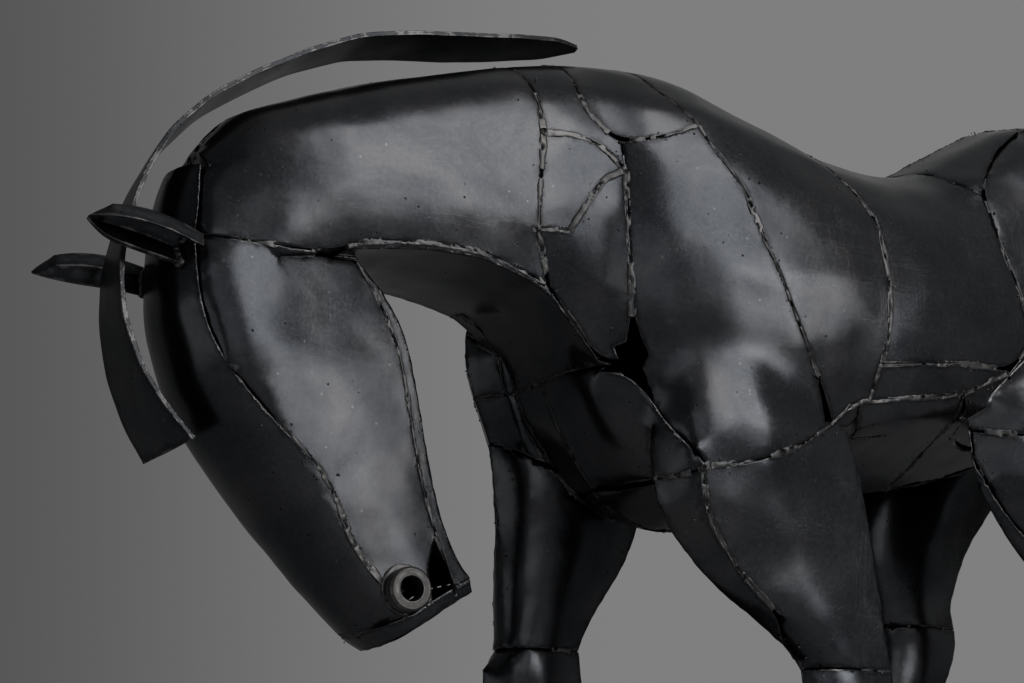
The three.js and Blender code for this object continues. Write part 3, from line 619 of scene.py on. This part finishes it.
def plain_mesh(name, carrier, tree, inputs):
    """Runs a node tree on the carrier, keeps the result as a plain mesh and drops the carrier."""
    modifier = carrier.modifiers.new(tree.name, "NODES")
    modifier.node_group = tree
    for item in tree.interface.items_tree:
        if item.in_out == "INPUT" and item.name in inputs:
            modifier[item.identifier] = inputs[item.name]
    view = bpy.context.evaluated_depsgraph_get()
    mesh = bpy.data.meshes.new_from_object(carrier.evaluated_get(view))
    made = bpy.data.objects.new(name, mesh)
    bpy.context.scene.collection.objects.link(made)
    bpy.data.objects.remove(carrier)
    return made


def seam_carrier(nodes):
    """The seams of some plates as bare edges, each point with the outward direction there."""
    points, outward, pairs = [], [], []
    for node in nodes:
        mates, joined = seams[node]
        place = {}
        for index, (middle, up) in mates.items():
            place[index] = len(points)
            points.append(middle)
            outward.append(up)
        pairs.extend((place[a], place[b]) for a, b in joined)
    shifted = dented(points) if points else np.zeros((0, 3))
    mesh = bpy.data.meshes.new("seams")
    mesh.from_pydata(shifted.tolist(), pairs, [])
    stored = mesh.attributes.new("skin_normal", "FLOAT_VECTOR", "POINT")
    stored.data.foreach_set("vector", np.ravel(np.array(outward)).astype(np.float32))
    carrier = bpy.data.objects.new("seams", mesh)
    bpy.context.scene.collection.objects.link(carrier)
    return carrier


# ---------------------------------------------------------------- finishes

INK = (0.042, 0.046, 0.054, 1)
ASH = (0.088, 0.089, 0.093, 1)
SOOT = (0.006, 0.006, 0.007, 1)
BRIGHT = (0.42, 0.41, 0.40, 1)
RING_DARK = (0.10, 0.10, 0.10, 1)
RING_PALE = (0.22, 0.215, 0.21, 1)
FOOT_DARK = (0.020, 0.021, 0.024, 1)
FOOT_PALE = (0.06, 0.058, 0.056, 1)
SCRATCH_SHARE = 0.07        # how much of each mark's own colour shows
SPECK_SHARE = 0.2
SCALE_SHARE = 0.45
RUBBED_SHARE = 0.2
BURN_SHARE = 0.95
BUMP_DEPTH = 0.4 * MM


def group_of(name, inputs, outputs):
    tree = bpy.data.node_groups.new(name, "ShaderNodeTree")
    for label, kind, value in inputs:
        input_socket(tree, label, kind, value)
    for label, kind in outputs:
        output_socket(tree, label, kind)
    w = Wiring(tree)
    return tree, w, w.add("NodeGroupInput").outputs, w.add("NodeGroupOutput").inputs


def patina_group():
    """Cloudy staining with a fine grain over it."""
    tree, w, given, result = group_of(
        "patina clouds",
        [("Vector", "NodeSocketVector", None), ("Cloud Scale", "NodeSocketFloat", 16.0),
         ("Grain Scale", "NodeSocketFloat", 420.0)],
        [("Cloud", "NodeSocketFloat"), ("Grain", "NodeSocketFloat")],
    )
    broad = w.noise(given["Vector"], given["Cloud Scale"], 6.0, 0.55, 0.6)
    w.put(result["Cloud"], w.ramp(broad, 0.34, 0.68))
    w.put(result["Grain"], w.noise(given["Vector"], given["Grain Scale"], 5.0, 0.65))
    return tree


def blemish_group():
    """Small pits, pale specks and long fine scratches."""
    tree, w, given, result = group_of(
        "pits and scratches",
        [("Vector", "NodeSocketVector", None), ("Pit Scale", "NodeSocketFloat", 230.0),
         ("Scratch Scale", "NodeSocketFloat", 60.0)],
        [("Pits", "NodeSocketFloat"), ("Specks", "NodeSocketFloat"), ("Scratches", "NodeSocketFloat")],
    )
    cells = w.add("ShaderNodeTexVoronoi", Vector=given["Vector"], Scale=given["Pit Scale"])
    chance = w.add("ShaderNodeSeparateColor", Color=cells.outputs["Color"])
    dots = w.ramp(cells.outputs["Distance"], 0.20, 0.10)
    few = w.ramp(chance.outputs["Red"], 0.93, 1.0)
    some = w.math("LESS_THAN", chance.outputs["Red"], 0.05)
    w.put(result["Pits"], w.math("MULTIPLY", dots, few))
    w.put(result["Specks"], w.math("MULTIPLY", dots, some))
    lines = None
    for turn, stretch in ((0.5, (1, 1, 0.03)), (1.3, (0.03, 1, 1)), (2.4, (1, 1, 0.04))):
        laid = w.add("ShaderNodeMapping", Vector=given["Vector"], Rotation=(turn, turn * 0.7, 0.4),
                     Scale=stretch)
        fine = w.noise(laid, w.math("MULTIPLY", given["Scratch Scale"], 12.0), 2.0)
        line = w.ramp(w.math("ABSOLUTE", w.math("SUBTRACT", fine, 0.5)), 0.012, 0.0)
        patchy = w.ramp(w.noise(laid, given["Scratch Scale"], 1.0), 0.52, 0.62)
        line = w.math("MULTIPLY", line, patchy)
        lines = line if lines is None else w.math("MAXIMUM", lines, line)
    w.put(result["Scratches"], lines)
    return tree


def wear_group():
    """Where the edge of a sheet is rubbed bright, and the scale left along it by the torch."""
    tree, w, given, result = group_of(
        "worn edge",
        [("Vector", "NodeSocketVector", None), ("Distance", "NodeSocketFloat", 1.0),
         ("Width", "NodeSocketFloat", 1.2 * MM)],
        [("Wear", "NodeSocketFloat"), ("Scale", "NodeSocketFloat")],
    )
    patchy = w.noise(given["Vector"], 95.0, 4.0, 0.6)
    reach = w.math("MULTIPLY", given["Width"], w.ramp(patchy, 0.40, 0.70, 0.1, 1.8))
    w.put(result["Wear"], w.ramp(w.math("DIVIDE", given["Distance"], reach), 1.0, 0.35))
    broad = w.math("MULTIPLY", w.ramp(patchy, 0.3, 0.7, 1.5, 6.0), given["Width"])
    w.put(result["Scale"], w.ramp(w.math("DIVIDE", given["Distance"], broad), 1.0, 0.2))
    return tree


PATINA = patina_group()
BLEMISH = blemish_group()
WEAR = wear_group()


def steel(name, dark, pale, rough, metal, width, worn_share=0.16, burnt=False):
    """One steel finish: cloudy patina between two tones, pitted, scratched and worn at its edges."""
    material = bpy.data.materials.new(name)
    material.use_nodes = True
    w = Wiring(material.node_tree)
    shader = material.node_tree.nodes["Principled BSDF"]
    place = w.add("ShaderNodeTexCoord").outputs["Object"]
    clouds = w.add("ShaderNodeGroup", {"node_tree": PATINA}, Vector=place)
    marks = w.add("ShaderNodeGroup", {"node_tree": BLEMISH}, Vector=place)
    distance = w.add("ShaderNodeAttribute", {"attribute_name": "edge_distance"}).outputs["Fac"]
    edge = w.add("ShaderNodeGroup", {"node_tree": WEAR}, Vector=place, Distance=distance, Width=width)
    tone = w.math("ADD", w.math("MULTIPLY", clouds.outputs["Cloud"], 0.6),
                  w.ramp(clouds.outputs["Grain"], 0.3, 0.75, 0.0, 0.4))
    colour = w.mix(tone, dark, pale)
    colour = w.mix(w.math("MULTIPLY", edge.outputs["Scale"], SCALE_SHARE), colour, SOOT)
    scratched = w.math("MULTIPLY", marks.outputs["Scratches"], SCRATCH_SHARE)
    colour = w.mix(scratched, colour, BRIGHT)
    colour = w.mix(w.math("MULTIPLY", marks.outputs["Specks"], SPECK_SHARE), colour, BRIGHT)
    colour = w.mix(w.math("MULTIPLY", edge.outputs["Wear"], worn_share), colour, BRIGHT)
    colour = w.mix(marks.outputs["Pits"], colour, SOOT)
    uneven = w.math("ADD", w.math("MULTIPLY", clouds.outputs["Grain"], 0.12),
                    w.math("MULTIPLY", clouds.outputs["Cloud"], -0.05))
    roughness = w.math("ADD", w.math("SUBTRACT", uneven, 0.035), rough)
    roughness = w.math("ADD", roughness, w.math("MULTIPLY", marks.outputs["Pits"], 0.4), clamp=True)
    height = w.math("SUBTRACT", w.math("MULTIPLY", clouds.outputs["Grain"], 0.25), marks.outputs["Pits"])
    height = w.math("SUBTRACT", height, w.math("MULTIPLY", marks.outputs["Scratches"], 0.06))
    if burnt:
        burn = w.add("ShaderNodeAttribute", {"attribute_name": "burn"}).outputs["Fac"]
        crown = w.add("ShaderNodeAttribute", {"attribute_name": "crown"}).outputs["Fac"]
        rubbed = w.math("MULTIPLY", crown, w.ramp(w.noise(place, 34.0, 3.0), 0.50, 0.66))
        colour = w.mix(w.math("MULTIPLY", rubbed, RUBBED_SHARE), colour, BRIGHT)
        colour = w.mix(w.math("MULTIPLY", burn, BURN_SHARE), colour, SOOT)
        roughness = w.math("ADD", roughness, w.math("MULTIPLY", burn, 0.5), clamp=True)
    w.put(shader.inputs["Base Color"], colour)
    w.put(shader.inputs["Roughness"], roughness)
    shader.inputs["Metallic"].default_value = metal
    bump = w.add("ShaderNodeBump", Strength=0.35, Distance=BUMP_DEPTH, Height=height)
    w.put(shader.inputs["Normal"], bump)
    return material


PLATE_STEEL = steel("blue black plate", INK, ASH, 0.24, 0.9, 1.0 * MM)
BEAD_STEEL = steel("weld bead steel", INK, ASH, 0.46, 0.9, 0.1 * MM, burnt=True)
STRAP_STEEL = steel("strap steel", INK, ASH, 0.36, 0.9, 1.6 * MM, worn_share=0.22)
RING_STEEL = steel("worn ring steel", RING_DARK, RING_PALE, 0.5, 0.9, 1.0 * MM)
FOOT_STEEL = steel("dark foot steel", FOOT_DARK, FOOT_PALE, 0.5, 0.8, 1.5 * MM)


def finish_of(node):
    if node in RING_NODES:
        return RING_STEEL, "bare_steel"
    if node in DARK_NODES:
        return FOOT_STEEL, "dark_steel"
    if node in LOOSE_NODES:
        return STRAP_STEEL, "patina_steel"
    return PLATE_STEEL, "patina_steel"


# ---------------------------------------------------------------- the pieces

def settle(piece, material, slot_name):
    piece.data.materials.clear()
    piece.data.materials.append(material)
    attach(piece, "root")
    return piece


for node in sorted(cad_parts):
    points, faces, folds, away, _ = worked[node]
    rim = np.zeros(len(points), bool)
    rim[np.unique(folds)] = True
    if node in WELDED:
        points = wandering(points, rim)
    points = dented(points)
    piece = made_object(f"{node}_worked", points, faces, {"edge_distance": ("FLOAT", away)})
    settle(piece, *finish_of(node))
    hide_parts(node)

SPATTER_SEED = 11
SPATTER_COUNT = 420
SPATTER_THROW = 12 * MM
SPATTER_SPREAD = 0.6
SPATTER_SIZE = 0.75 * MM
SPATTER_DROP = 15 * MM      # a droplet falls on the skin from this far out
DROPLET_DIVISIONS = 2
TACK_SEED = 5
TACK_SIZE = 1.9 * MM
TACK_REACH = 1.6 * MM
TACKS_EACH = 70

RING_MARKS = 48             # points round a nostril ring's weld
RING_WELD_GAP = 0.9 * MM
RING_WELD_DEPTH = 15 * MM   # the cheek lies no further than this behind the ring
BESIDE_HORSE = 0.2          # a place well outside the cheeks
FOOT_MARKS = 60             # points round a hoof's weld
FOOT_BAND = 1.5 * MM
FOOT_WELD_GAP = 0.6 * MM
FOOT_WELD_STEP = 1.5 * MM


def droplet_tree(material):
    """Sets a lumpy droplet of steel on every point it is given."""
    tree = bpy.data.node_groups.new("steel droplets", "GeometryNodeTree")
    input_socket(tree, "Points", "NodeSocketGeometry", None)
    input_socket(tree, "Size", "NodeSocketFloat", SPATTER_SIZE)
    input_socket(tree, "Smallest", "NodeSocketFloat", 0.5)
    input_socket(tree, "Largest", "NodeSocketFloat", 1.3)
    input_socket(tree, "Seed", "NodeSocketInt", SPATTER_SEED)
    output_socket(tree, "Geometry", "NodeSocketGeometry")
    w = Wiring(tree)
    given = w.add("NodeGroupInput").outputs
    ball = w.add("GeometryNodeMeshIcoSphere", Radius=given["Size"], Subdivisions=DROPLET_DIVISIONS)
    scale = w.add("FunctionNodeRandomValue", {"data_type": "FLOAT"}, Seed=given["Seed"])
    w.put(scale.inputs[2], given["Smallest"])
    w.put(scale.inputs[3], given["Largest"])
    laid = w.add("GeometryNodeInstanceOnPoints", Points=given["Points"], Instance=ball.outputs["Mesh"])
    w.put(laid.inputs["Scale"], scale.outputs[1])
    real = w.add("GeometryNodeRealizeInstances", Geometry=laid)
    place = w.add("GeometryNodeInputPosition").outputs[0]
    lump = w.math("MULTIPLY", w.math("SUBTRACT", w.noise(place, 600.0, 2.0), 0.5), given["Size"])
    shift = w.vector("SCALE", w.add("GeometryNodeInputNormal").outputs[0], scale=lump)
    shaped = w.add("GeometryNodeSetPosition", Geometry=real, Offset=shift)
    smooth = w.add("GeometryNodeSetShadeSmooth", Geometry=shaped)
    finished = w.add("GeometryNodeSetMaterial", Geometry=smooth, Material=material)
    result = w.add("NodeGroupOutput")
    w.put(result.inputs[0], finished)
    return tree


def point_carrier(points):
    mesh = bpy.data.meshes.new("droplet points")
    mesh.from_pydata([tuple(p) for p in points], [], [])
    carrier = bpy.data.objects.new("droplet points", mesh)
    bpy.context.scene.collection.objects.link(carrier)
    return carrier


def spatter_points():
    """Where droplets thrown from the seams have stuck to the skin."""
    chance = np.random.default_rng(SPATTER_SEED)
    sources = [m for mates, _ in seams.values() for m in mates.values()]
    chosen = chance.choice(len(sources), SPATTER_COUNT, replace=False)
    found = []
    for pick in chosen:
        middle, outward = sources[pick]
        thrown = Vector(chance.normal(size=3)) * SPATTER_THROW * SPATTER_SPREAD
        along = thrown - outward * thrown.dot(outward)
        start = Vector(middle) + along + outward * SPATTER_DROP
        hit = skin_tree.ray_cast(start, -outward, 2 * SPATTER_DROP)[0]
        if hit is not None:
            found.append(hit)
    return dented(found)


def tack_points():
    """Rough tacks where the ears, the mane strap and the tail touch the body."""
    chance = np.random.default_rng(TACK_SEED)
    bodies = []
    for node in WELDED:
        points, faces, _, _, _ = worked[node]
        bodies.append(BVHTree.FromPolygons([Vector(p) for p in points], faces.tolist()))
    found = []
    for node in LOOSE_NODES:
        near = [
            p for p in worked[node][0]
            if any(body.find_nearest(Vector(p), TACK_REACH)[0] is not None for body in bodies)
        ]
        if near:
            picks = chance.choice(len(near), min(len(near), TACKS_EACH), replace=False)
            found.extend(near[i] for i in picks)
    return dented(found)


def ring_path(node):
    """A weld path round a nostril ring, on the cheek it sits on."""
    low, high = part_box(node)
    centre = (low + high) / 2
    reach = (high.x - low.x) / 2 + RING_WELD_GAP
    side = -1 if centre.y < 0 else 1
    path = []
    for step in range(RING_MARKS):
        angle = math.tau * step / RING_MARKS
        across, up = reach * math.cos(angle), reach * math.sin(angle)
        start = Vector((centre.x + across, side * BESIDE_HORSE, centre.z + up))
        hit, normal, _, _ = skin_tree.ray_cast(start, Vector((0, -side, 0)))
        if hit is not None and abs(hit.y - centre.y) < RING_WELD_DEPTH:
            path.append((hit, normal))
    return path


def foot_path(node):
    """A weld path round the foot of a hoof, on the base plate."""
    low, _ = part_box(node)
    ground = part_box("base_plate")[1].z
    points = worked[node][0]
    foot = points[points[:, 2] < low.z + FOOT_BAND]
    centre = foot.mean(axis=0)
    path = []
    for step in range(FOOT_MARKS):
        angle = math.tau * step / FOOT_MARKS
        way = np.array([math.cos(angle), math.sin(angle), 0])
        edge = foot[np.argmax((foot - centre) @ way)]
        spot = Vector((edge[0], edge[1], ground)) + Vector(way) * FOOT_WELD_GAP
        if not path or (spot - path[-1][0]).length > FOOT_WELD_STEP:
            path.append((spot, (Vector((0, 0, 1)) + Vector(way)).normalized()))
    return path


def path_carrier(paths):
    """Closed weld paths as bare edges, each point with its outward direction."""
    points, outward, pairs = [], [], []
    for path in paths:
        start = len(points)
        points.extend(place for place, _ in path)
        outward.extend(up for _, up in path)
        pairs.extend((start + i, start + (i + 1) % len(path)) for i in range(len(path)))
    mesh = bpy.data.meshes.new("paths")
    mesh.from_pydata(dented(points).tolist(), pairs, [])
    stored = mesh.attributes.new("skin_normal", "FLOAT_VECTOR", "POINT")
    stored.data.foreach_set("vector", np.ravel(np.array(outward)).astype(np.float32))
    carrier = bpy.data.objects.new("paths", mesh)
    bpy.context.scene.collection.objects.link(carrier)
    return carrier


run = bead_tree(BEAD_STEEL)
drops = droplet_tree(BEAD_STEEL)
groups = {"head_welds": [n for n in WELDED if n in HEAD_NODES]}
groups["neck_welds"] = [n for n in WELDED if n in NECK_NODES]
groups["leg_welds"] = [n for n in WELDED if leg_part(n)]
taken = sum(groups.values(), [])
groups["body_welds"] = [n for n in WELDED if n not in taken]
for name, nodes in groups.items():
    beads = plain_mesh(name, seam_carrier(nodes), run, {"Bead Radius": BEAD_RADIUS})
    settle(beads, BEAD_STEEL, "patina_steel")

HOOVES = [n for n in DARK_NODES if n.startswith("hoof")]
ring_beads = plain_mesh("ring_welds", path_carrier([ring_path(n) for n in RING_NODES]), run,
                        {"Bead Radius": BEAD_RADIUS, "Height": RING_BEAD_HEIGHT})
settle(ring_beads, BEAD_STEEL, "bare_steel")
foot_beads = plain_mesh("foot_welds", path_carrier([foot_path(n) for n in HOOVES]), run,
                        {"Bead Radius": FOOT_BEAD_RADIUS, "Height": FOOT_BEAD_HEIGHT})
settle(foot_beads, BEAD_STEEL, "dark_steel")
spatter = plain_mesh("weld_spatter", point_carrier(spatter_points()), drops, {"Size": SPATTER_SIZE})
settle(spatter, BEAD_STEEL, "patina_steel")
tacks = plain_mesh("strap_and_ear_tacks", point_carrier(tack_points()), drops, {"Size": TACK_SIZE})
settle(tacks, BEAD_STEEL, "patina_steel")


# ---------------------------------------------------------------- studio

LOW, HIGH = (Vector(corner) for corner in cad_box)
SPAN = HIGH - LOW
HEART = Vector((LOW.x + SPAN.x * 0.40, 0, LOW.z + SPAN.z * 0.70))
FLOOR_RADIUS = 4.0
FLOOR_SIDES = 96
FLOOR_DARK = (0.40, 0.40, 0.41, 1)
FLOOR_PALE = (0.48, 0.48, 0.48, 1)
ROOM_LEAN = (0.875, -0.485, 0.0)    # the room is lighter this way
ROOM_DARK = 0.088
ROOM_PALE = 0.212
WARM = (1.0, 0.98, 0.965)
COOL = (0.98, 0.99, 1.0)

# each soft box: name, direction from the heart, distance, width, height, watts and colour
LIGHTS = (
    ("key_box", (0.245, -0.802, 0.545), 2.0, 1.0, 2.3, 21, WARM),
    ("low_box", (0.50, -0.85, 0.06), 1.05, 0.35, 0.38, 1.0, WARM),
    ("left_box", (-0.97, -0.09, -0.20), 1.8, 1.8, 0.9, 2.2, COOL),
    ("front_box", (-0.42, -0.89, 0.12), 2.2, 1.3, 1.0, 2, COOL),
)
LENS = 75
SENSOR_WIDTH = 36
CAMERA_AIM = Vector((LOW.x + SPAN.x * 0.3336, 0, LOW.z + SPAN.z * 0.6968))
CAMERA_TURN = math.radians(-29)
CAMERA_TILT = math.radians(-13)
CAMERA_REACH = 1.4


def area_light(name, toward, distance, width, height, power, colour, aim):
    """A soft box seen from aim in the direction toward."""
    data = bpy.data.lights.new(name, "AREA")
    data.shape = "RECTANGLE"
    data.size = width
    data.size_y = height
    data.energy = power
    data.color = colour
    light = bpy.data.objects.new(name, data)
    way = Vector(toward).normalized()
    light.location = aim + way * distance
    light.visible_camera = False
    light.rotation_euler = (-way).to_track_quat("-Z", "Y").to_euler()
    bpy.context.scene.collection.objects.link(light)


def plain_floor():
    """A wide round pale floor under the sculpture."""
    work = bmesh.new()
    bmesh.ops.create_circle(work, cap_ends=True, segments=FLOOR_SIDES, radius=FLOOR_RADIUS)
    mesh = bpy.data.meshes.new("studio_floor")
    work.to_mesh(mesh)
    work.free()
    floor = bpy.data.objects.new("studio_floor", mesh)
    bpy.context.scene.collection.objects.link(floor)
    material = bpy.data.materials.new("pale floor")
    material.use_nodes = True
    w = Wiring(material.node_tree)
    shader = material.node_tree.nodes["Principled BSDF"]
    place = w.add("ShaderNodeTexCoord").outputs["Object"]
    grain = w.noise(place, 3.0, 4.0)
    w.put(shader.inputs["Base Color"], w.mix(grain, FLOOR_DARK, FLOOR_PALE))
    shader.inputs["Roughness"].default_value = 0.9
    mesh.materials.append(material)


def grey_room():
    """An even grey room, a little lighter towards the horse's tail."""
    world = bpy.data.worlds.new("grey room")
    bpy.context.scene.world = world
    world.use_nodes = True
    w = Wiring(world.node_tree)
    way = w.add("ShaderNodeTexCoord").outputs["Generated"]
    lean = w.vector("DOT_PRODUCT", way, ROOM_LEAN)
    level = w.ramp(lean, -0.30, 0.06, ROOM_DARK, ROOM_PALE)
    shade = w.add("ShaderNodeCombineColor", Red=level, Green=level, Blue=level)
    back = world.node_tree.nodes["Background"]
    w.put(back.inputs["Color"], shade)
    back.inputs["Strength"].default_value = 1.0


def studio_camera():
    """Looks up at the head, neck and shoulder from low on the left, ahead of the chest."""
    data = bpy.data.cameras.new("camera")
    data.lens = LENS
    data.sensor_width = SENSOR_WIDTH
    camera = bpy.data.objects.new("camera", data)
    ahead, aside = math.sin(CAMERA_TURN), -math.cos(CAMERA_TURN)
    level = math.cos(CAMERA_TILT)
    back = Vector((ahead * level, aside * level, math.sin(CAMERA_TILT)))
    camera.location = CAMERA_AIM + back * CAMERA_REACH
    camera.rotation_euler = (-back).to_track_quat("-Z", "Y").to_euler()
    bpy.context.scene.collection.objects.link(camera)
    bpy.context.scene.camera = camera


plain_floor()
grey_room()
for light in LIGHTS:
    area_light(*light, HEART)
studio_camera()
